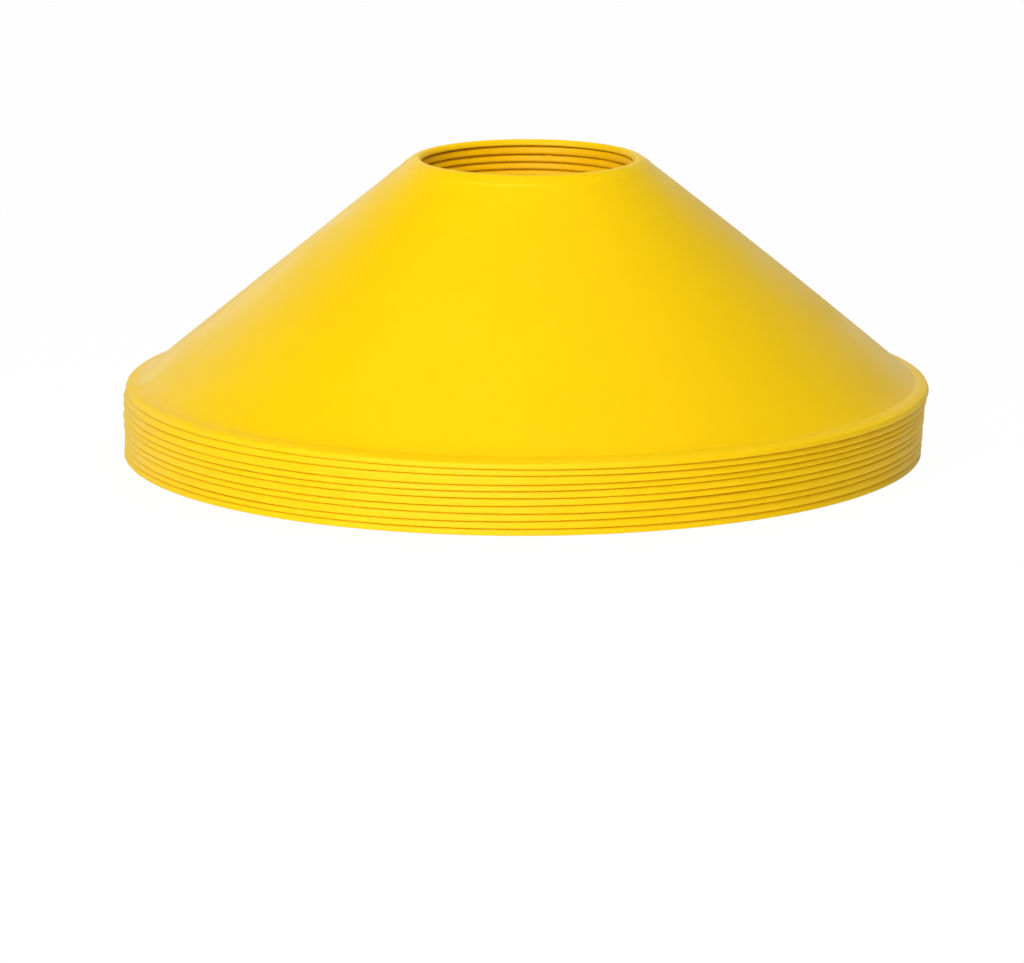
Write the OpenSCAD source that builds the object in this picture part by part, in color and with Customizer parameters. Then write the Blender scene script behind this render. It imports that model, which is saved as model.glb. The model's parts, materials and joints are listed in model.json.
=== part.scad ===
// Stack of ten low marker discs for sports training.
// Each disc is one soft plastic moulding: a thin open cone with a round hole in a
// raised collar at the top and a flared rim at the foot. The discs nest one over another.
// Z = 0 is the ground under the lowest disc, and Z is the axis that all the discs share.

/* [Stack] */
// Number of discs in the stack
disc_count = 10; // [2:1:12]
// Height of the air gap between one disc and the next
nest_gap = 0.51; // [0.4:0.01:1]

/* [Rim] */
// Outer diameter of the rim
rim_d = 200; // [180:1:260]
// Width of the rim, from its outer edge to the foot of the cone
rim_w = 2.6; // [1.5:0.1:8]
// Rounding of the rim's upper edge
rim_round = 1; // [0.1:0.05:1.2]
// Rounding of the rim's lower edge, along the parting line of the mould
rim_trim = 0.15; // [0.05:0.05:0.3]
// Radius of the hollow blend from the cone into the rim, on the upper face
foot_round = 4; // [2.5:0.1:6]
// Radius of the same bend on the underside, inside the flat ring that the disc stands on
heel_round = 3; // [1.5:0.1:4]

/* [Wall] */
// Thickness of the moulded wall, square to the cone
wall = 0.95; // [0.8:0.05:1.6]
// Height of the collar's top face over the rim's top face
crown_rise = 56.5; // [40:0.25:75]

/* [Collar] */
// Diameter of the hole
hole_d = 52.8; // [40:0.1:70]
// Rounding of the hole's upper edge
hole_round = 0.45; // [0.1:0.05:0.6]
// Rounding of the hole's lower edge
hole_trim = 0.15; // [0.05:0.05:0.3]
// Width of the collar's top face, from the hole to the collar's shoulder
collar_w = 1.9; // [1.5:0.1:5]
// How far the collar's side falls, from the shoulder to the cone
collar_fall = 1.6; // [1.4:0.1:3]
// How far the collar's side runs outwards, from the shoulder to the cone
collar_run = 2.1; // [1.8:0.1:4]
// Radius of the shoulder, between the collar's top and its side
shoulder_round = 3; // [0.5:0.1:4]
// Radius of the hollow blend from the collar's side into the cone
neck_round = 4; // [0.5:0.1:6]

/* [Hidden] */

// Radii of the profile, from the hole outwards
hole_r = hole_d / 2;
shoulder_r = hole_r + collar_w;
neck_r = shoulder_r + collar_run;
rim_r = rim_d / 2;
foot_r = rim_r - rim_w;

// The cone climbs from the foot to the neck, and its slope sets the wall's upright height
cone_angle = atan2(crown_rise - collar_fall, foot_r - neck_r);
wall_h = wall / cos(cone_angle);
// Each disc stands this much higher than the one that it covers
nest_pitch = wall_h + nest_gap;

// Short faces in each rounded corner, and flats in a full turn
corner_faces = 4;
turn_flats = 180;

// Corners of the upper face, from the hole to the rim, over the rim's top face
upper_face = [
    [hole_r, crown_rise],
    [shoulder_r, crown_rise],
    [neck_r, crown_rise - collar_fall],
    [foot_r, 0],
    [rim_r, 0]
];
upper_rounds = [hole_round, shoulder_round, neck_round, foot_round, rim_round];
under_rounds = [hole_trim, shoulder_round, neck_round, heel_round, rim_trim];

// Unit vector from a to b
function toward(a, b) = (b - a) / norm(b - a);

// Half of the angle at b, between a and c
function half_angle(a, b, c) = acos(toward(b, a) * toward(b, c)) / 2;

// Points of the arc that rounds the corner at b, between a and c
function corner(a, b, c, radius) =
    let (
        half = half_angle(a, b, c),
        to_a = toward(b, a),
        to_c = toward(b, c),
        centre = b + toward([0, 0], to_a + to_c) * radius / sin(half),
        first = b + to_a * radius / tan(half) - centre,
        turn = cross(to_a, to_c) > 0 ? 2 * half - 180 : 180 - 2 * half
    )
    [
        for (step = [0 : corner_faces])
            let (t = turn * step / corner_faces)
            centre + [first.x * cos(t) - first.y * sin(t), first.x * sin(t) + first.y * cos(t)]
    ];

// A closed outline with each corner rounded by its own radius. Where the two roundings of
// an edge need more than the edge's length, both shrink by the same share to fit on it.
function rounded(points, radii) =
    let (
        last = len(points) - 1,
        before = [for (i = [0 : last]) points[i > 0 ? i - 1 : last]],
        after = [for (i = [0 : last]) points[i < last ? i + 1 : 0]],
        reach = [for (i = [0 : last]) radii[i] / tan(half_angle(before[i], points[i], after[i]))],
        edge_share = [
            for (i = [0 : last])
                min(1, norm(after[i] - points[i]) / (reach[i] + reach[i < last ? i + 1 : 0]))
        ]
    )
    [
        for (i = [0 : last])
            let (share = min(edge_share[i], edge_share[i > 0 ? i - 1 : last]))
            each corner(before[i], points[i], after[i], radii[i] * share)
    ];

function reversed(list) = [for (i = [len(list) - 1 : -1 : 0]) list[i]];

// Section of one disc. Its underside is its upper face moved straight down by the wall's
// height, so that a disc covers the one below with an even gap all the way across.
function disc_section() =
    rounded(
        concat([for (p = upper_face) p + [0, wall_h]], reversed(upper_face)),
        concat(upper_rounds, reversed(under_rounds))
    );

// One disc, at its level in the stack: level 0 stands on the ground
module marker_disc(level) {
    color("gold")
        translate([0, 0, level * nest_pitch])
            rotate_extrude($fn = turn_flats)
                polygon(disc_section());
}

for (level = [0 : disc_count - 1])
    marker_disc(level);
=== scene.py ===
# %% [markdown]
# # A stack of ten marker discs
# Trainers set these low discs out on the grass to mark a pitch or a running drill, and carry them home as a
# stack. Each disc is one thin moulding of soft yellow plastic: an open cone with a round hole in a raised
# collar, and a narrow flat rim. Nothing moves inside a disc, so all of its character is in the curve of its
# wall, the row of rims at the foot of the stack and the satin finish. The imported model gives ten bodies, one
# for each disc, and every surface made here rides on the body that it belongs to.

# %% Load the frame
import json
import math

import bpy
import numpy as np
from mathutils import Matrix, Vector

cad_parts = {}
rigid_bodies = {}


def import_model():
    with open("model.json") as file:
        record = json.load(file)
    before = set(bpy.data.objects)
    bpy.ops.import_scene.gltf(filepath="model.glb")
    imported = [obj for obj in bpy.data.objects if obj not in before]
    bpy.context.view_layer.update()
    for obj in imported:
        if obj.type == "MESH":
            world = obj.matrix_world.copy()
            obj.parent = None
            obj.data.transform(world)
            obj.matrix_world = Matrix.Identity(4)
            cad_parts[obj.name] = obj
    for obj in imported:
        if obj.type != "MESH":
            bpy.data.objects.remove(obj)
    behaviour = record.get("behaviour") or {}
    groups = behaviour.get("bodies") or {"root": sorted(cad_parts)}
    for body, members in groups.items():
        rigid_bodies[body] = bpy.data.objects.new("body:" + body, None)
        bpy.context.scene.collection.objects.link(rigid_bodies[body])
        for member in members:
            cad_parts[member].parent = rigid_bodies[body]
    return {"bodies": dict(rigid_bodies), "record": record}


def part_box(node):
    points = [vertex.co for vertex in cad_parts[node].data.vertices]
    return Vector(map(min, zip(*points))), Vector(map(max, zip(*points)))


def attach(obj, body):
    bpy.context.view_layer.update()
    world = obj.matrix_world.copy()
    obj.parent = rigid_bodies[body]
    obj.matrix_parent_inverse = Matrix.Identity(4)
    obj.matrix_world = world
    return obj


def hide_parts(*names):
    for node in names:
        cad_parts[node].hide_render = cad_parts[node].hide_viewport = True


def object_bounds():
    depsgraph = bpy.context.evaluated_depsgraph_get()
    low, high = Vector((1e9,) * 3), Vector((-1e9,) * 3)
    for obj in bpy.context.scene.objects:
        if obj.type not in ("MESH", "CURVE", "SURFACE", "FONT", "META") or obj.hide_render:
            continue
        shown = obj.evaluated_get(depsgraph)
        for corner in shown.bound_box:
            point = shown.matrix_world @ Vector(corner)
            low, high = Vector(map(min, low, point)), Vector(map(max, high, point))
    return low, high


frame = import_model()
cad_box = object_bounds()

# %% [markdown]
# ## Sizes
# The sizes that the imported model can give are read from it: the rim's radius, a disc's height and the step
# from one disc to the next come from the boxes of the lowest two discs, and the hole's radius comes from the
# mount that describes it. The others are the mould maker's sizes, written once here in metres. The collar's
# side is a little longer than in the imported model, as the photograph shows it.

# %% Read the driving sizes
mm = 0.001
low_1, high_1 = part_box("disc_01")
low_2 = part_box("disc_02")[0]
hole_mount = next(m for m in frame["record"]["mounts"] if m["name"] == "centre_hole")

rim_r = high_1.x
disc_h = high_1.z - low_1.z
step_up = low_2.z - low_1.z
hole_r = hole_mount["dims"]["r_mm"] * mm
disc_count = len(frame["bodies"])
print(f"rim radius {rim_r:.4f}, disc height {disc_h:.4f}, step {step_up:.5f}, hole radius {hole_r:.4f}")

# %% Name the mould maker's sizes
wall = 0.95 * mm
rim_w = 2.6 * mm
rim_round, rim_trim = 0.5 * mm, 0.18 * mm
collar_w = 1.9 * mm
collar_fall = 2.11 * mm
collar_run = 2.72 * mm
crown_rise = 56.5 * mm

foot_r = rim_r - rim_w
shoulder_r = hole_r + collar_w
neck_r = shoulder_r + collar_run
cone_angle = math.atan2(crown_rise - collar_fall, foot_r - neck_r)
wall_h = wall / math.cos(cone_angle)
print(f"cone angle {math.degrees(cone_angle):.2f} degrees, upright wall {wall_h / mm:.3f} mm")
print(f"height differs from the packed disc by {abs(crown_rise + wall_h - disc_h) / mm:.3f} mm")

# %% [markdown]
# ## The camera
# The picture is a product shot: a long lens, a little above the stack. A long lens keeps the rims almost
# parallel, which is why the stack looks so regular. The camera comes first. Its place is written as a
# distance and a height angle from the middle of the stack's underside, and three small turns then set the
# frame.

# %% Place the camera
image_w = 1024
sensor_w = 36.0
focal_px = 5168.2
camera_distance = 1.2953
camera_elevation = math.radians(11.95)
camera_side = 0.6 * mm
camera_yaw, camera_pitch, camera_roll = -0.0029, -0.0068, 0.0018


def turn_pair(a, b, angle):
    """Turns two axes that are square to each other: a goes towards b by the angle, and b away from a."""
    return a * math.cos(angle) + b * math.sin(angle), b * math.cos(angle) - a * math.sin(angle)


def place_camera():
    """Looks at the origin, then yaws, pitches and rolls. The columns of its matrix are right, up and back."""
    eye = Vector((0, -math.cos(camera_elevation), math.sin(camera_elevation))) * camera_distance
    forward, right = -eye.normalized(), Vector((1, 0, 0))
    up = right.cross(forward)
    forward, right = turn_pair(forward, right, camera_yaw)
    forward, up = turn_pair(forward, up, camera_pitch)
    right, up = turn_pair(right, up, camera_roll)
    data = bpy.data.cameras.new("camera")
    data.sensor_width = sensor_w
    data.lens = focal_px * sensor_w / image_w
    data.clip_start, data.clip_end = 0.05, 20
    camera = bpy.data.objects.new("camera", data)
    axes = Matrix((right, up, -forward)).transposed()
    camera.matrix_world = Matrix.Translation(eye + Vector((camera_side, 0, 0))) @ axes.to_4x4()
    bpy.context.scene.collection.objects.link(camera)
    bpy.context.scene.camera = camera
    return camera


camera = place_camera()
print(f"lens {camera.data.lens:.1f} mm, camera at {[round(v, 3) for v in camera.matrix_world.translation]}")

# %% [markdown]
# ## The wall of one disc
# Cut a disc from its hole to its rim and the cut shows one closed outline, about a millimetre thick. The
# mould's two halves meet along the rim's lower edge, so the lower edges are crisp and the upper ones are
# soft. The outline is a short list of corners, each with its own rounding, and a rounded corner is an arc.
# That is how the mould is drawn, and it keeps every curve exact at any number of points.

# %% A rounded corner
def corner_arc(before, corner, after, radius, steps):
    """Points of the arc that rounds a corner.

    The arc touches both edges. Its centre lies on the line that halves the corner's angle, at the radius
    divided by the sine of half that angle, and it turns by 180 degrees less the whole angle.
    """
    to_a = (before - corner) / np.linalg.norm(before - corner)
    to_b = (after - corner) / np.linalg.norm(after - corner)
    half = math.acos(np.clip(to_a @ to_b, -1, 1)) / 2
    middle = (to_a + to_b) / np.linalg.norm(to_a + to_b)
    centre = corner + middle * radius / math.sin(half)
    spoke = corner + to_a * radius / math.tan(half) - centre
    side = np.sign(to_a[0] * to_b[1] - to_a[1] * to_b[0])
    turn = side * (2 * half - math.pi) * np.linspace(0, 1, steps + 1)
    across = np.array([-spoke[1], spoke[0]])
    return centre + np.cos(turn)[:, None] * spoke + np.sin(turn)[:, None] * across


print("a quarter arc of radius 1 ends at", corner_arc(
    np.array([2.0, 0]), np.array([0.0, 0]), np.array([0, 2.0]), 1.0, 4)[-1].round(3))

# %% The outline of the wall
# Each corner is (radius from the axis, height, rounding, steps of its arc), from the hole's upper edge out
# to the rim, round it and back along the underside. The collar ends in a small step, steeper than the cone,
# which catches the light as a fine line round the collar's foot.
step_w, step_h = 0.16 * mm, 0.28 * mm
step_low = (neck_r, crown_rise - collar_fall)
step_high = (neck_r - step_w, step_low[1] + step_h)
upper_corners = [
    (hole_r, crown_rise, 0.75 * mm, 8),
    (shoulder_r, crown_rise, 3.0 * mm, 12),
    (*step_high, 0.6 * mm, 4),
    (*step_low, 0.3 * mm, 4),
    (foot_r, 0, 4.0 * mm, 12),
    (rim_r, 0, rim_round, 12),
]
under_corners = [
    (rim_r, 0, rim_trim, 3),
    (foot_r, 0, 3.0 * mm, 8),
    (*step_low, 0.3 * mm, 4),
    (*step_high, 0.6 * mm, 4),
    (shoulder_r, crown_rise, 3.0 * mm, 12),
    (hole_r, crown_rise, 0.45 * mm, 5),
]
longest_piece = 3.2 * mm


def wall_outline():
    """The closed outline of the wall, as points of (radius, height).

    The underside is the upper face moved straight down by the wall's upright height. Arcs round the
    corners, and straight runs between them are split so that no piece is longer than longest_piece.
    """
    corners = [(r, z + wall_h, rounding, steps) for r, z, rounding, steps in upper_corners] + under_corners
    spots = np.array([c[:2] for c in corners], float)
    arcs = []
    for i, (_, _, rounding, steps) in enumerate(corners):
        arcs.append(corner_arc(spots[i - 1], spots[i], spots[(i + 1) % len(spots)], rounding, steps))
    pieces = []
    for arc, following in zip(arcs, arcs[1:] + arcs[:1]):
        pieces.append(arc)
        count = max(1, math.ceil(np.linalg.norm(following[0] - arc[-1]) / longest_piece))
        share = np.arange(1, count)[:, None] / count
        pieces.append(arc[-1] + (following[0] - arc[-1]) * share)
    return np.concatenate(pieces)


outline = wall_outline()
print(f"outline: {len(outline)} points, radius {outline[:, 0].min():.4f} to {outline[:, 0].max():.4f}")

# %% [markdown]
# ## How real discs settle
# Ten perfect discs would give nine perfect lines, and the stack would look like a screw thread. Soft
# mouldings cool a little bent, and they are stacked by hand, so each one sits a touch high or low, leans to
# one side and slides off the middle by part of a millimetre. The amounts below were judged from the gaps
# between the rims in the photograph. They stay within the air that the nesting leaves, so no disc cuts
# through its neighbour. The lower a disc is, the more it is also skewed: its longest way across lies a
# little off the line to the camera.

# %% How each disc sits
# One row for each disc, from the lowest up, in millimetres. Heights first: how far its crown, the middle of
# its cone and its rim stand above their places, how far the crown nods down to the front, how far the rim
# leans up to the right, and how far the rim bows down at both sides. Then how far the crown, the middle and
# the rim slide to the right, and how far the rim is out of round: longer towards the camera and shorter from
# side to side.
settled = np.array([
    # crown, belly, rim, nod, lean, bow, crown slide, belly slide, rim slide, oval
    (0.00, 0.00, 0.00, 0.00, 0.00, 0.00, -0.20, 0.00, -0.45, 0.40),
    (-0.10, 0.00, 0.00, 0.00, 0.05, -0.05, -0.20, 0.00, -0.35, 0.40),
    (-0.20, 0.00, 0.07, 0.00, 0.45, -0.08, -0.15, 0.00, -0.25, 0.35),
    (-0.30, 0.00, 0.10, 0.00, 0.10, -0.08, -0.10, 0.00, -0.20, 0.35),
    (-0.40, 0.00, 0.18, 0.00, 0.55, -0.05, -0.10, 0.00, -0.15, 0.30),
    (-0.50, 0.00, 0.22, 0.02, 0.25, -0.05, -0.05, 0.00, -0.10, 0.20),
    (-0.60, 0.00, 0.12, 0.05, 0.51, 0.00, 0.00, 0.00, -0.05, 0.15),
    (-0.50, 0.00, -0.08, 0.08, 0.38, -0.05, 0.10, 0.00, 0.10, 0.20),
    (-0.35, 0.10, 0.05, 0.12, 0.05, 0.20, 0.30, 0.10, 0.30, 0.05),
    (-0.05, 0.35, 0.06, 0.25, -0.05, -0.12, 0.58, 0.32, 0.62, -0.08),
])
(crown_up, belly_up, rim_up, nods, leans, bows,
 crown_slides, belly_slides, rim_slides, ovals) = settled.T * mm
lean_grip = 2.0
lowest_skew = 0.45 * mm


def smooth(x):
    """The smooth step: 0 below 0, 1 above 1, and three x squared less two x cubed between."""
    x = np.clip(x, 0, 1)
    return x * x * (3 - 2 * x)


def middle(along):
    """1 half-way down the cone and 0 at both of its ends: four x times one less x."""
    return 4 * along * (1 - along)


def rise(number, r, turn):
    """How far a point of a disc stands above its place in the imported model.

    The crown's rise passes smoothly into the rim's from the collar outwards. The crown's own rise is a
    level part less a nod that follows the cosine of the turn. The rim's is a level part, a lean that
    follows tanh of lean_grip times the sine of the turn, and a bow that follows the cosine of twice the
    turn. The belly's rise is added in the middle of the cone.
    """
    i = number - 1
    at_crown = crown_up[i] - nods[i] * np.cos(turn)
    at_rim = rim_up[i] + leans[i] * np.tanh(lean_grip * np.sin(turn)) + bows[i] * np.cos(2 * turn)
    along = np.clip((r - neck_r) / (rim_r - neck_r), 0, 1)
    share = smooth(along)
    return at_crown * (1 - share) + at_rim * share + belly_up[i] * middle(along)


def slide(number, r):
    """How far a point of a disc has slid to the right.

    The crown's slide passes evenly into the rim's, and the belly's is added in the middle of the cone.
    """
    i = number - 1
    along = np.clip((r - neck_r) / (rim_r - neck_r), 0, 1)
    return crown_slides[i] * (1 - along) + rim_slides[i] * along + belly_slides[i] * middle(along)


def oval(number, r, turn):
    """Extra radius of a disc that is out of round.

    It follows the cosine of twice the turn, less a skew that follows the sine of twice the turn, and grows
    with the square of the radius. The skew is lowest_skew on the lowest disc and nothing on the top one.
    """
    skew = lowest_skew * (disc_count - number) / (disc_count - 1)
    return (r / rim_r) ** 2 * (ovals[number - 1] * np.cos(2 * turn) - skew * np.sin(2 * turn))


print("rise of each rim in front, in mm:",
      [round(float(rise(n, rim_r, 0.0)) / mm, 2) for n in range(1, disc_count + 1)])

# %% [markdown]
# ## Where the discs nearly touch
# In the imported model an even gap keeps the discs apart. Real discs rest on each other, rim on rim and collar
# on collar, and the photograph shows thin dark lines there. So each skin is thicker at its rim and at its
# hole, by the air that is left there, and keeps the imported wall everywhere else. The top disc has no disc
# over it, and its rim shows what the other rims hide: a brim that falls a little towards its edge.

# %% How thick the edges are
rim_swell_start, rim_swell_reach, hole_swell_reach = 0.8 * mm, 2.0 * mm, 1.5 * mm
closest_air, most_swell, widest_wave = 0.03 * mm, 1.0 * mm, 2.5
air_shares = [1, 2.2, 1, 2.5, 1.3, 1, 0.8, 2.5, 0.6]
hole_drop = 0.36 * mm
brim_r, brim_fall, brim_blend, brim_lift = 96.05 * mm, 1.12 * mm, 0.2 * mm, 0.2 * mm


def within_wall(r, z):
    """Where a point lies in the wall's upright height: 0 on the underside and 1 on the upper face."""
    underside = np.interp(r, [shoulder_r, neck_r, foot_r], [crown_rise, crown_rise - collar_fall, 0])
    return np.clip((z - underside) / wall_h, 0, 1)


def brim_fill(r, z):
    """How far the top disc's brim stands over the plain upper face.

    The brim is a straight slope that rises inwards from the rim by brim_fall in the way to brim_r. Half of
    (x plus the root of x squared plus brim_blend squared), with x the slope's height over the face, is x
    where the slope is well over the face and 0 where it is well under it, with a round bend between.
    """
    over_face = brim_fall / (rim_r - brim_r) * (rim_r - r) - (z - wall_h)
    fill = (over_face + np.sqrt(over_face ** 2 + brim_blend ** 2)) / 2
    return fill * smooth((r - neck_r) / (foot_r - neck_r))


def left_open(number, turn, at_hole):
    """The air that stays between a disc and the next one, wider in some places than in others.

    It is closest_air times the disc's own share, one share more at the hole, and times waves in the turn:
    the product of two sines, of 3 and 5 waves, whose starts differ from disc to disc.
    """
    waves = np.sin(3 * turn + 1.7 * number) * np.sin(5 * turn + 2.9 * number)
    return closest_air * (1 + widest_wave * smooth(waves)) * (air_shares[number - 1] + at_hole)


def swell(number, r, z, turn):
    """Extra height where a disc is thicker, at its rim and at its hole.

    The upper face rises by the air over it, less what is left open and at most by most_swell. That air is
    the nesting gap, plus the next disc's rise, less this disc's rise and the next one's drop. On the top
    disc it rises by the brim's fill, and by brim_lift at both sides. The underside drops by hole_drop at the
    hole. Both fade out from the edges, and a point between the faces moves by its place within the wall.
    """
    at_rim = smooth((r - foot_r + rim_swell_start) / rim_swell_reach)
    at_hole = smooth(1 - (r - hole_r) / hole_swell_reach)
    within = within_wall(r, z)
    drop = hole_drop * at_hole
    if number == disc_count:
        extra = brim_fill(r, z) + brim_lift * at_rim * np.sin(turn) ** 2
    else:
        air = step_up - wall_h + rise(number + 1, r, turn) - rise(number, r, turn) - drop
        extra = np.clip(air - left_open(number, turn, at_hole), 0, most_swell) * (at_rim + at_hole)
    return extra * within - drop * (1 - within)


print("top disc: brim fill at the foot", round(float(brim_fill(foot_r, wall_h)) / mm, 2), "mm")

# %% [markdown]
# ## Marks of the mould
# Some small marks show how a disc was made. The plastic entered the mould at the hole's upper edge and
# leaves a small nub where it was snapped off. Along the rim a thread of plastic crept between the mould's
# halves, and was trimmed by hand, so it is a little higher in some places than in others. At the left of
# each disc from the fourth up it leaves a small bulge, the burr. All are far too small for the packed
# model, and all are pushed out of the surface itself, so that they catch the light.

# %% The gate nub and the rim's flash
nub_turns = np.radians([40, -75, 15, -30, 85, -5, 60, 167.2, -55, 20])
nub_w, nub_sharpness = 1.0 * mm, 1.6
nub_heights = np.array([0.4, 0.35, 0.4, 0.45, 0.35, 0.4, 0.4, 0.4, 0.35, 0.03]) * mm
flash_h = 0.05 * mm
long_share, short_share = 0.5, 0.35
burr_rise = 1.2 * mm
burr_turn, burr_w = math.radians(-89), math.radians(6)
burr_heights = np.array([0, 0, 0, 0.05, 0.25, 0.4, 0.1, 0.55, 0.55, 0.15]) * mm


def turn_apart(a, b):
    """The angle between two turns, the short way round."""
    return np.abs((a - b + math.pi) % (2 * math.pi) - math.pi)


def nub(number, r, z, turn):
    """Extra height at the gate.

    Across the nub it is e to the power of minus x to the fourth, with x the way from its middle in nub
    widths times nub_sharpness. It fades within a nub's width of the hole and in the wall's upper half.
    """
    across = np.exp(-(turn_apart(turn, nub_turns[number - 1]) * hole_r / nub_w * nub_sharpness) ** 4)
    at_edge = smooth(1 - (r - hole_r) / nub_w) * smooth((z - crown_rise - wall_h / 2) / (wall_h / 4))
    return nub_heights[number - 1] * across * at_edge


def flash(number, z, r, turn):
    """Extra radius of the rim, from its flash and its burr.

    The flash lies along the parting line: a level part, a sine of 23 waves in a full turn and a finer one
    of 61. The burr is a bell in the turn about burr_turn, and fades out upwards and towards the foot.
    """
    waves = 1 + long_share * np.sin(23 * turn + number) + short_share * np.sin(61 * turn + 2 * number)
    burr = burr_heights[number - 1] * np.exp(-((turn - burr_turn) / burr_w) ** 2)
    at_line = np.exp(-((z - rim_trim) / rim_trim) ** 2) * smooth((r - rim_r + rim_trim) / rim_trim)
    at_burr = smooth((r - foot_r) / rim_w) * np.exp(-(z / burr_rise) ** 2)
    return at_line * flash_h * waves + at_burr * burr


print("gate nubs:", len(nub_turns), "flash:", flash_h / mm, "mm")

# %% [markdown]
# ## The skin of a disc
# A disc is a surface of two parameters: where a point lies on the outline, and how far round it lies. Both
# close on themselves, so the skin is one loop with no seam, no pole and no hole. Spinning an outline with a
# modifier would also work, but the settling and the mould marks change with the turn, and computing the
# whole grid at once with numpy lets them act on every point in the same few lines.

# %% Compute the grid of points
turn_steps = 400
rim_draft, hole_draft, hole_lip = 0.55 * mm, 0.2 * mm, 0.3 * mm


def draft(r, z):
    """Extra radius that gives the edges the slant with which a moulding leaves its mould.

    Up the hole's wall it goes evenly from minus hole_lip to hole_draft, and fades out away from the hole.
    Up the rim's wall it goes evenly from 0 to minus rim_draft, and fades out towards the foot.
    """
    up_hole = np.clip((z - crown_rise) / wall_h, 0, 1)
    at_hole = smooth(1 - (r - hole_r) / hole_swell_reach)
    up_rim = np.clip(z / wall_h, 0, 1)
    at_rim = smooth((r - foot_r) / rim_w)
    return (hole_lip * (up_hole - 1) + hole_draft * up_hole) * at_hole - rim_draft * at_rim * up_rim


def disc_surface(number):
    """All the points of one disc, as an array of outline points by steps of the turn.

    A point at radius r and turn t lies at x = r sin t and y = -r cos t, so that turn 0 faces the camera.
    Its height is the outline's, plus the disc's place in the stack, its rise, the gate nub and the swell.
    The flash, the oval and the draft add to its radius, and the slide adds to its x.
    """
    turn = np.linspace(-math.pi, math.pi, turn_steps, endpoint=False)[None, :]
    r, z = outline[:, :1], outline[:, 1:]
    edge_r = r + flash(number, z, r, turn) + oval(number, r, turn) + draft(r, z)
    height = z + (number - 1) * step_up + rise(number, r, turn) + nub(number, r, z, turn)
    height = height + swell(number, r, z, turn)
    return np.stack([edge_r * np.sin(turn) + slide(number, r), -edge_r * np.cos(turn), height], -1)


print("points in one disc:", disc_surface(1).shape)

# %% Turn a grid into a mesh
def ring_mesh(name, points):
    """A mesh from a grid that closes both ways.

    The four corners of a face are a point, the next one along the outline, that one's neighbour round the
    axis and the point's own neighbour. The texture map runs once round the axis across its width, and its
    height is the distance along the outline in metres, so that a pattern can follow the turning marks.
    """
    rows, cols = points.shape[:2]
    index = np.arange(rows * cols).reshape(rows, cols)
    beside, beyond = np.roll(index, -1, 1), np.roll(index, -1, 0)
    corners = np.stack([index, beyond, np.roll(beyond, -1, 1), beside], -1).reshape(-1, 4)
    mesh = bpy.data.meshes.new(name)
    mesh.vertices.add(rows * cols)
    mesh.vertices.foreach_set("co", points.astype(np.float32).ravel())
    mesh.loops.add(corners.size)
    mesh.loops.foreach_set("vertex_index", corners.astype(np.int32).ravel())
    mesh.polygons.add(len(corners))
    mesh.polygons.foreach_set("loop_start", np.arange(0, corners.size, 4, dtype=np.int32))
    gaps = np.linalg.norm(np.diff(outline, axis=0, append=outline[:1]), axis=1)
    along = np.concatenate([[0], np.cumsum(gaps)])
    row, col = np.divmod(np.arange(rows * cols), cols)
    across = np.stack([col, col, col + 1, col + 1], -1) / cols
    down = np.stack([along[row], along[row + 1], along[row + 1], along[row]], -1)
    skin = mesh.uv_layers.new(name="mould_map")
    skin.data.foreach_set("uv", np.stack([across, down], -1).astype(np.float32).ravel())
    mesh.update(calc_edges=True)
    mesh.shade_smooth()
    return mesh


def enclosed_volume(points):
    """Volume inside a closed grid: the sum over its triangles of corner dot (corner cross corner) / 6."""
    a, b = points, np.roll(points, -1, 0)
    c, d = np.roll(b, -1, 1), np.roll(points, -1, 1)
    return float(((a * np.cross(b, c)).sum() + (a * np.cross(c, d)).sum()) / 6)


print(f"volume of one disc: {enclosed_volume(disc_surface(1)) * 1e6:.2f} cubic centimetres")

# %% [markdown]
# ## Where a disc is handled
# Edges wear first. The rim and the hole's edge are what hands and the next disc touch, so they go a little
# paler and duller than the cone. A number on every point of the mesh says how near it is to such an edge,
# and the material reads that number. A second number tells the discs apart, so that one material can give
# each of them its own clouds and scuffs. A third marks the hole's wall, where a deeper, more orange yellow is
# painted into the colour: painted light that stands in for the glow of light passing through the plastic and
# bouncing between the discs. The top disc's wall is in the open and gets less of this painted glow.

# %% Store the handling numbers
rim_handled, hole_handled = 3.0 * mm, 2.0 * mm
hole_wall_end, hole_wall_fade = 0.45 * mm, 0.30 * mm
# how much of the hole's painted glow the top disc's wall gets
top_glow_share = 0.35
disc_offset = 1.7


def add_point_number(mesh, name, values):
    """Stores one number for each point of a mesh, under a name that a material can read."""
    attribute = mesh.attributes.new(name, "FLOAT", "POINT")
    attribute.data.foreach_set("value", np.ascontiguousarray(values, np.float32).ravel())


def handled():
    """Nearness to a handled edge: 1 at the rim or the hole, falling smoothly to 0 a few millimetres in."""
    near_rim = smooth(1 - (rim_r - outline[:, 0]) / rim_handled)
    near_hole = smooth(1 - (outline[:, 0] - hole_r) / hole_handled)
    return np.repeat(np.maximum(near_rim, near_hole), turn_steps)


def painted_glow_mask():
    """Where the hole's painted glow goes: 1 on the straight wall of the hole, falling smoothly to 0 over its
    rounded edges.
    """
    return np.repeat(smooth((hole_wall_end - (outline[:, 0] - hole_r)) / hole_wall_fade), turn_steps)


print(f"share of the outline that is handled: {float((handled() > 0.5).mean()):.2f}")

# %% [markdown]
# ## The plastic
# The discs are soft polyethylene, coloured right through. Its colour is an even, slightly warm yellow. Its
# surface is satin: the mould was turned on a lathe and then blasted with fine grit, so very faint rings run
# round the disc under a fine grain. At a flat angle it reflects the room's white strongly, which greys the
# sides of the cone. The reflection seen straight on is tinted, as that of a dense yellow pigment just under
# the surface is, so the front stays a full yellow.

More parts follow.
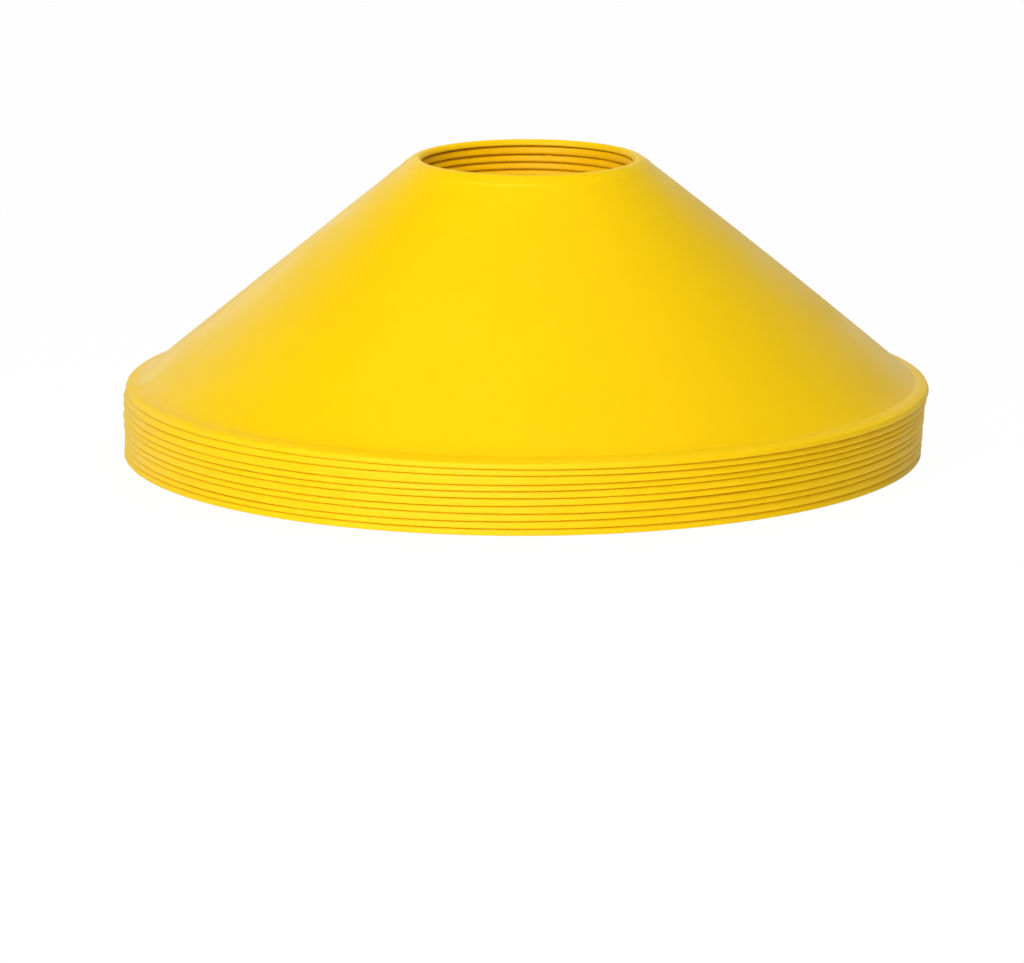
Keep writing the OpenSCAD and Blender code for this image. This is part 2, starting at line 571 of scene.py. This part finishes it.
# %% A small kit for node trees
def add_node(tree, kind, inputs=None, **options):
    """Adds a node, sets its options, then fills its sockets with values or links."""
    node = tree.nodes.new(kind)
    for name, value in options.items():
        setattr(node, name, value)
    for name, value in (inputs or {}).items():
        if isinstance(value, bpy.types.NodeSocket):
            tree.links.new(value, node.inputs[name])
        else:
            node.inputs[name].default_value = value
    return node


def mix_colours(tree, share, first, second):
    """A colour between two others. The share, the colours, or all three may be links."""
    return add_node(tree, "ShaderNodeMix", {0: share, 6: first, 7: second}, data_type="RGBA").outputs[2]


def scaled(tree, value, low, high, to_low, to_high):
    """Carries a value from one range to another and stops it at the ends."""
    inputs = {"Value": value, "From Min": low, "From Max": high, "To Min": to_low, "To Max": to_high}
    return add_node(tree, "ShaderNodeMapRange", inputs, clamp=True).outputs[0]


def maths(tree, operation, *values):
    """One arithmetic step on numbers or links."""
    return add_node(tree, "ShaderNodeMath", dict(enumerate(values)), operation=operation).outputs[0]


print("node kit ready")

# %% The satin yellow
full_yellow = (0.940, 0.590, 0.0008, 1)
deep_yellow = (0.915, 0.560, 0.0006, 1)
worn_yellow = (0.945, 0.615, 0.005, 1)
# painted light: a deeper yellow painted on the hole's wall, standing in for light passed through the plastic
# and between the discs
painted_glow_yellow = (0.890, 0.468, 0.0003, 1)
yellow_tint = (1.0, 0.85, 0.28, 1)


def noise(tree, coordinates, scale, detail=2.0, roughness=0.5, distortion=0.0):
    """A cloud of values about one half, read at the given coordinates."""
    inputs = {"Vector": coordinates, "Scale": scale, "Detail": detail, "Roughness": roughness,
              "Distortion": distortion}
    return add_node(tree, "ShaderNodeTexNoise", inputs).outputs["Fac"]


def make_yellow_plastic():
    """Satin polyethylene: cloudy colour, handled edges, a painted glow on the hole's wall, lathe rings, grit
    grain, scuffs and soft gloss.
    """
    material = bpy.data.materials.new("yellow_plastic")
    material.use_nodes = True
    tree = material.node_tree
    tree.nodes.clear()
    place = add_node(tree, "ShaderNodeTexCoord").outputs["Object"]
    number = add_node(tree, "ShaderNodeAttribute", attribute_name="disc_number").outputs["Fac"]
    edge = add_node(tree, "ShaderNodeAttribute", attribute_name="handled").outputs["Fac"]
    painted_glow_share = add_node(tree, "ShaderNodeAttribute", attribute_name="painted_glow_mask").outputs["Fac"]
    skin = add_node(tree, "ShaderNodeUVMap", uv_map="mould_map").outputs["UV"]
    offset = add_node(tree, "ShaderNodeCombineXYZ", {0: number, 1: number, 2: number}).outputs[0]
    own = add_node(tree, "ShaderNodeVectorMath", {0: offset, 1: place}, operation="ADD").outputs[0]

    clouds = noise(tree, own, 16.0, 3.0, 0.55, 0.6)
    colour = mix_colours(tree, scaled(tree, clouds, 0.30, 0.70, 0.0, 0.55), full_yellow, deep_yellow)
    wear = maths(tree, "MULTIPLY", edge, scaled(tree, noise(tree, own, 240.0, 4.0), 0.35, 0.70, 0.15, 0.85))
    colour = mix_colours(tree, wear, colour, worn_yellow)
    # painted light: the hole's wall is painted the deeper glow yellow instead of being lit by light through
    # the plastic
    colour = mix_colours(tree, painted_glow_share, colour, painted_glow_yellow)

    rings_at = add_node(tree, "ShaderNodeMapping", {"Vector": skin, "Scale": (3.0, 2600.0, 1.0)}).outputs[0]
    rings = noise(tree, rings_at, 1.0, 2.0, 0.6)
    grain = noise(tree, own, 2600.0, 2.0, 0.6)
    smudges = noise(tree, own, 38.0, 4.0, 0.6, 1.2)
    dull = scaled(tree, smudges, 0.40, 0.75, 0.36, 0.50)
    dull = maths(tree, "ADD", dull, maths(tree, "MULTIPLY", wear, 0.22))
    rough = maths(tree, "ADD", dull, maths(tree, "MULTIPLY", maths(tree, "SUBTRACT", grain, 0.5), 0.10))

    bump = add_node(tree, "ShaderNodeBump", {"Height": grain, "Strength": 0.10, "Distance": 0.00012})
    bump = add_node(tree, "ShaderNodeBump", {"Height": rings, "Strength": 0.10, "Distance": 0.00006,
                                             "Normal": bump.outputs[0]})
    waves = noise(tree, own, 30.0, 2.0, 0.5)
    bump = add_node(tree, "ShaderNodeBump", {"Height": waves, "Strength": 0.25, "Distance": 0.0006,
                                             "Normal": bump.outputs[0]})
    shader = add_node(tree, "ShaderNodeBsdfPrincipled", {
        "Base Color": colour, "Roughness": rough, "Normal": bump.outputs[0],
        "IOR": 1.5, "Specular Tint": yellow_tint,
        "Subsurface Weight": 0.4, "Subsurface Radius": (1.0, 0.80, 0.15), "Subsurface Scale": 0.0014})
    output = add_node(tree, "ShaderNodeOutputMaterial")
    tree.links.new(shader.outputs[0], output.inputs["Surface"])
    return material


yellow_plastic = make_yellow_plastic()
print("nodes in the plastic:", len(yellow_plastic.node_tree.nodes))

# %% [markdown]
# ## The ten discs
# Now the stack is a loop. Each disc gets its own skin, takes the place of the plain disc of the same name,
# and rides on that disc's body, so that lifting one disc lifts those above it.

# %% Make the stack
def make_disc(number):
    """One finished disc: its mesh, its numbers, its material and its ride."""
    name = f"disc_{number:02d}"
    mesh = ring_mesh(f"{name}_skin", disc_surface(number))
    add_point_number(mesh, "handled", handled())
    # the hole's wall gets the painted glow, less of it on the top disc
    add_point_number(mesh, "painted_glow_mask", painted_glow_mask() * (top_glow_share if number == disc_count else 1))
    add_point_number(mesh, "disc_number", np.full(len(mesh.vertices), number * disc_offset))
    mesh.materials.append(yellow_plastic)
    disc = bpy.data.objects.new(f"{name}_skin", mesh)
    bpy.context.scene.collection.objects.link(disc)
    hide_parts(name)
    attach(disc, name)
    return disc


discs = [make_disc(number) for number in range(1, disc_count + 1)]
print("faces in the stack:", sum(len(disc.data.polygons) for disc in discs))

# %% [markdown]
# ## Floor and light
# The discs stand in a white studio. The floor is plain and pale and keeps a trace of the stack's soft
# shadow. Its white in the picture, and in reflections, comes from the floor and world themselves and not
# from stronger lamps, so the lamps can stay at a level where a colour renders about as it is written.

# %% The floor
floor_reach, floor_drop = 4.0, 0.05 * mm
floor_grey = (0.93, 0.93, 0.93, 1)
white = (1, 1, 1, 1)
floor_white_share = 0.97
floor_gloss_share = 0.42


def white_rays(tree, glossy_share):
    """1 for rays from the camera or through a surface, glossy_share for rays off a shiny one, or else 0."""
    path = add_node(tree, "ShaderNodeLightPath").outputs
    glossy = maths(tree, "MULTIPLY", path["Is Glossy Ray"], glossy_share)
    seen = maths(tree, "MAXIMUM", path["Is Camera Ray"], glossy)
    return maths(tree, "MAXIMUM", seen, path["Is Transmission Ray"])


def make_floor():
    """A wide flat sheet just under the stack, part plain white and part lit."""
    corners = np.array([(-1, -1), (1, -1), (1, 1), (-1, 1)], float) * floor_reach
    points = np.column_stack([corners, np.full(4, -floor_drop)])
    mesh = bpy.data.meshes.new("floor")
    mesh.from_pydata(points.tolist(), [], [(0, 1, 2, 3)])
    material = bpy.data.materials.new("pale_floor")
    material.use_nodes = True
    tree = material.node_tree
    tree.nodes.clear()
    lit = add_node(tree, "ShaderNodeBsdfDiffuse", {"Color": floor_grey}).outputs[0]
    plain = add_node(tree, "ShaderNodeEmission", {"Color": white, "Strength": 1.0}).outputs[0]
    share = maths(tree, "MULTIPLY", white_rays(tree, floor_gloss_share), floor_white_share)
    mixed = add_node(tree, "ShaderNodeMixShader", {0: share, 1: lit, 2: plain}).outputs[0]
    add_node(tree, "ShaderNodeOutputMaterial", {"Surface": mixed})
    mesh.materials.append(material)
    floor = bpy.data.objects.new("floor", mesh)
    bpy.context.scene.collection.objects.link(floor)
    return floor


floor = make_floor()
print("floor:", floor.dimensions[:])

# %% The room
# Each pair says where a fade begins and ends, as the part of a ray's direction that points up, right or back.
horizon_height, ceiling_height = 0.18, 0.65
right_begin, right_end = -0.4, 0.7
back_begin, back_end = 0.3, 0.95
ceiling_level, right_level, back_gloss = 0.03, 0.35, 1.3


def make_room():
    """A plain pale world that is seen and reflected, but lights nothing itself. The lamps do that.

    It is white at the horizon and fades to ceiling_level overhead and to right_level on the right. In
    reflections the back is brighter, by back_gloss. The direction of a ray is the world's own coordinate,
    so the room stands still when the camera moves.
    """
    world = bpy.data.worlds.new("room")
    world.use_nodes = True
    tree = world.node_tree
    tree.nodes.clear()
    way = add_node(tree, "ShaderNodeTexCoord").outputs["Generated"]
    side = add_node(tree, "ShaderNodeSeparateXYZ", {0: way}).outputs
    height = scaled(tree, side["Z"], horizon_height, ceiling_height, 1.0, ceiling_level)
    right = scaled(tree, side["X"], right_begin, right_end, 1.0, right_level)
    shown = maths(tree, "MULTIPLY", height, right)
    behind = scaled(tree, side["Y"], back_begin, back_end, 1.0, back_gloss)
    strength = maths(tree, "MULTIPLY", white_rays(tree, behind), shown)
    light = add_node(tree, "ShaderNodeBackground", {"Color": white, "Strength": strength}).outputs[0]
    add_node(tree, "ShaderNodeOutputWorld", {"Surface": light})
    bpy.context.scene.world = world


make_room()
print("horizon and ceiling:", horizon_height, ceiling_height)

# %% The lamps
# Each panel is (turn round the stack and height angle in degrees, distance and width in metres, power in
# watts, whether reflections show it).
panels = {
    "key": (-21, 38, 1.6, 1.4, 28.7, True),
    "sky": (90, 76, 1.4, 2.4, 11.5, False),
    "back": (170, 15, 1.8, 1.2, 5.0, False),
}
beam_turn, beam_height, beam_distance = 55, 45, 0.7
beam_width, beam_softness, beam_power = 0.075, 0.03, 5.0
beam_depth = 6 * mm


def way_from_stack(turn, height):
    """The unit vector from the stack at a turn and a height angle. Turn 0 is the camera's side."""
    turn, height = math.radians(turn), math.radians(height)
    return Vector((math.sin(turn) * math.cos(height), -math.cos(turn) * math.cos(height), math.sin(height)))


def hang_lamp(name, data, target, way, distance, glossy):
    """Puts a lamp at a distance along the way from its target, and turns it to face the target."""
    lamp = bpy.data.objects.new(name, data)
    facing = way.to_track_quat("Z", "Y").to_matrix().to_4x4()
    lamp.matrix_world = Matrix.Translation(target + way * distance) @ facing
    lamp.visible_glossy = glossy
    bpy.context.scene.collection.objects.link(lamp)


def make_panel(name, turn, height, distance, width, power, glossy):
    """A square soft panel that faces the middle of the stack's underside."""
    data = bpy.data.lights.new(name, "AREA")
    data.size, data.energy = width, power
    hang_lamp(name, data, Vector((0, 0, 0)), way_from_stack(turn, height), distance, glossy)


def make_beam():
    """A narrow soft beam through the hole, onto the wall across from it.

    The key comes from the left and leaves that side of the hole's wall in its shade. The beam ends on the
    wall at beam_depth under the top of the stack.
    """
    data = bpy.data.lights.new("beam", "SPOT")
    data.energy, data.shadow_soft_size = beam_power, beam_softness
    data.spot_size, data.spot_blend = 2 * math.atan(beam_width / 2 / beam_distance), 1.0
    target = way_from_stack(beam_turn, 0) * -hole_r
    target.z = cad_box[1][2] - beam_depth
    hang_lamp("beam", data, target, way_from_stack(beam_turn, beam_height), beam_distance, False)


make_beam()
for name, settings in panels.items():
    make_panel(name, *settings)
bpy.context.scene.view_settings.view_transform = "Standard"
print("lamps:", len(bpy.data.lights))
